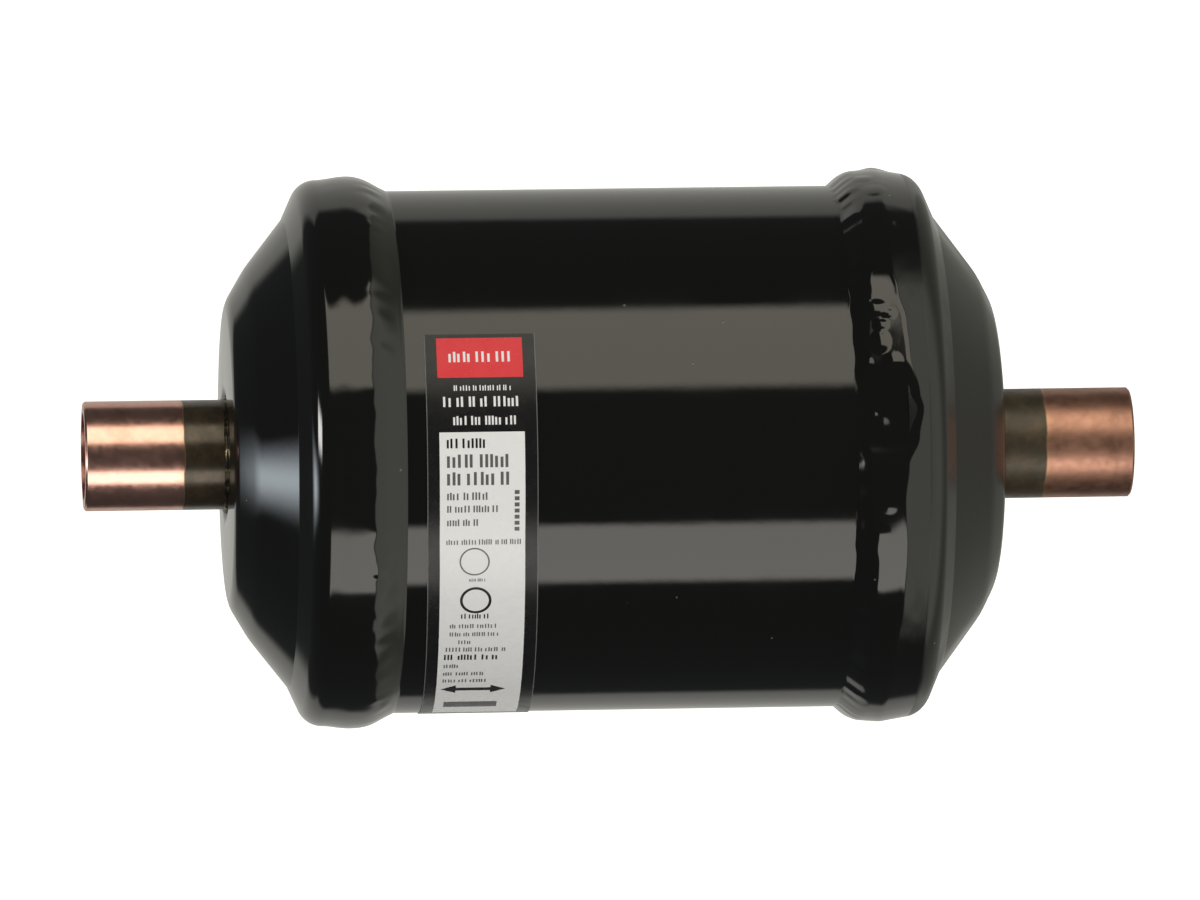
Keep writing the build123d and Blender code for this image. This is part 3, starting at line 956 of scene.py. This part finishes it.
def copper(side):
    """Copper plating: bright at the socket, stained and oversprayed near the braze."""
    look = COPPER_FINISHES[side]
    made, tree, shader = new_material(f"copper_{side}")
    split = add_node(tree, "ShaderNodeSeparateXYZ", {0: object_coordinates(tree)})
    along = maths(tree, "ABSOLUTE", split.outputs[0])
    wobble = times(tree, noise_texture(tree, 220), EDGE_WOBBLE * MM)
    shifted = maths(tree, "ADD", along, wobble)
    edge = look["edge"] * MM
    soft = EDGE_SOFTNESS * MM
    oversprayed = ramp(tree, shifted, edge + soft, edge - soft)
    rim_start, rim_end = [edge + reach * MM for reach in GOLD_RIM]
    golden = times(tree, ramp(tree, shifted, rim_end, rim_start), GOLD_SHARE)
    blotches = noise_texture(tree, 160, detail=4, roughness=0.6)
    tarnished = ramp(tree, blotches, 0.42, 0.7)
    metal = blend_colours(tree, tarnished, look["bare"], look["tarnish"])
    metal = blend_colours(tree, golden, metal, GOLD_COLOUR)
    spots = noise_texture(tree, 420, detail=3, roughness=0.7)
    dirty = blend_colours(tree, ramp(tree, spots, 0.4, 0.66), OVERSPRAY_COLOUR, STAIN_COLOUR)
    tree.links.new(blend_colours(tree, oversprayed, metal, dirty), shader.inputs["Base Color"])
    metallic = ramp(tree, oversprayed, 0.0, 1.0, 1.0, STAIN_METALLIC)
    tree.links.new(metallic, shader.inputs["Metallic"])
    smoothest, roughest = look["roughness"]
    grain = noise_texture(tree, 900, detail=3)
    uneven = ramp(tree, grain, 0.3, 0.7, smoothest, roughest)
    tree.links.new(uneven, shader.inputs["Roughness"])
    bump(tree, shader, grain, distance_mm=0.008)
    return made


def braze(side):
    """Braze filler: gold and silver spots among black flux."""
    made, tree, shader = new_material(f"braze_{side}", Metallic=0.8)
    spots = noise_texture(tree, 900, detail=3, roughness=0.6)
    tone = ramp(tree, noise_texture(tree, 220), 0.45, 0.58)
    bright = blend_colours(tree, tone, BRAZE_GOLD, BRAZE_SILVER)
    share = ramp(tree, spots, 0.48, 0.62, 0.0, BRAZE_BRIGHTNESS[side])
    colour = blend_colours(tree, share, FLUX_COLOUR, bright)
    tree.links.new(colour, shader.inputs["Base Color"])
    tree.links.new(ramp(tree, spots, 0.3, 0.7, 0.45, 0.25), shader.inputs["Roughness"])
    bump(tree, shader, spots, distance_mm=0.08)
    return made


GLOSS_SPREAD = 0.08
GRAIN_SPREAD = 0.15
GRAIN_SHADE = 0.72


def label_ink(name, colour, roughness=0.22, mottle=0.06):
    """Printed film: a faintly uneven colour under a clear gloss."""
    made, tree, shader = new_material(name, IOR=1.36)
    uneven = noise_texture(tree, 500, detail=3)
    darker = tuple(channel * (1 - mottle) for channel in colour)
    tree.links.new(blend_colours(tree, uneven, colour, darker), shader.inputs["Base Color"])
    gloss = ramp(tree, uneven, 0.3, 0.7, roughness, roughness + GLOSS_SPREAD)
    tree.links.new(gloss, shader.inputs["Roughness"])
    bump(tree, shader, noise_texture(tree, 260), distance_mm=0.004)
    return made


def label_inks():
    """The film and its inks, in the order of FILM to GREY."""
    return [
        label_ink("film_black", (0.011, 0.011, 0.012)),
        label_ink("film_edge", (0.16, 0.16, 0.16), roughness=0.3),
        label_ink("ink_red", (0.78, 0.02, 0.035)),
        label_ink("ink_white", (0.87, 0.87, 0.9), roughness=0.25, mottle=0.03),
        label_ink("ink_black", (0.02, 0.02, 0.021)),
        label_ink("ink_grey", (0.13, 0.13, 0.135)),
    ]


def worked_metal(name, colour, roughness, scale, relief):
    """Metal of an inner piece: drawn, rolled or woven, with a faint grain."""
    made, tree, shader = new_material(name, Metallic=1.0)
    grain = noise_texture(tree, scale, detail=4, roughness=0.6)
    darker = tuple(channel * GRAIN_SHADE for channel in colour)
    tree.links.new(blend_colours(tree, grain, colour, darker), shader.inputs["Base Color"])
    gloss = ramp(tree, grain, 0.3, 0.7, roughness, roughness + GRAIN_SPREAD)
    tree.links.new(gloss, shader.inputs["Roughness"])
    bump(tree, shader, grain, relief)
    return made


# Pale colour of the desiccant beads, then the painted shade of the gaps between them
BEAD_AND_GAP_SHADE_COLOURS = ((0.66, 0.6, 0.5), (0.34, 0.29, 0.22))
FIBRE_COLOURS = ((0.62, 0.6, 0.55), (0.38, 0.36, 0.32))


def porous_core():
    """Moulded desiccant: pale beads bonded together, with painted shade darkening the gaps between
    them.
    """
    made, tree, shader = new_material("desiccant_beads_and_gap_shade", Roughness=0.9)
    distance = add_node(tree, "ShaderNodeTexVoronoi", {
        "Vector": object_coordinates(tree),
        "Scale": 900,
    }).outputs["Distance"]
    # Painted shade: darker away from each bead's middle, towards the gaps where the beads meet
    tone = blend_colours(tree, ramp(tree, distance, 0.1, 0.6), *BEAD_AND_GAP_SHADE_COLOURS)
    tree.links.new(tone, shader.inputs["Base Color"])
    bump(tree, shader, maths(tree, "SUBTRACT", 1.0, distance), distance_mm=0.25)
    return made


def fibre_pad():
    """Pressed fibre of the gaskets."""
    made, tree, shader = new_material("pressed_fibre", Roughness=0.95)
    strands = noise_texture(tree, 1200, detail=5, roughness=0.7, distortion=2.0)
    tone = blend_colours(tree, strands, *FIBRE_COLOURS)
    tree.links.new(tone, shader.inputs["Base Color"])
    bump(tree, shader, strands, distance_mm=0.12)
    return made


def dress_cad_nodes(finishes):
    """Give every CAD node that stays the finish of its kind."""
    for name, cad_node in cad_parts.items():
        for prefix, finish in finishes.items():
            if name.startswith(prefix):
                cad_node.data.materials.clear()
                cad_node.data.materials.append(finish)


# ---------------------------------------------------------------- the scene

make_world()
make_floor()
make_camera()

paint = black_paint("black_enamel", dullest=0.1)
dull_paint = black_paint("black_enamel_dull", dullest=0.34)
zinc = worked_metal("zinc_plated_steel", (0.62, 0.63, 0.62), roughness=0.28, scale=300, relief=0.01)
valve = worked_metal("valve_steel", (0.56, 0.55, 0.53), roughness=0.2, scale=800, relief=0.004)
spring = worked_metal("spring_steel", (0.48, 0.47, 0.45), roughness=0.3, scale=1500, relief=0.004)
screen = worked_metal("screen_steel", (0.58, 0.58, 0.57), roughness=0.32, scale=1200, relief=0.01)
dress_cad_nodes({
    "shell_tube": paint,
    "connector_left": copper("left"),
    "connector_right": copper("right"),
    "valve_plate": zinc,
    "core_retainer": zinc,
    "outlet_cage": zinc,
    "cage_rivets": zinc,
    "inlet_disc": valve,
    "outlet_disc": valve,
    "core_screen": screen,
    "desiccant_core": porous_core(),
    "core_gasket": fibre_pad(),
})
make_end_caps({"left": paint, "right": dull_paint})
make_weld_beads(paint)
make_braze_rings({side: braze(side) for side in SIDES})
make_label(label_inks())
make_valve_springs(spring)

bpy.context.scene.view_settings.view_transform = "Standard"
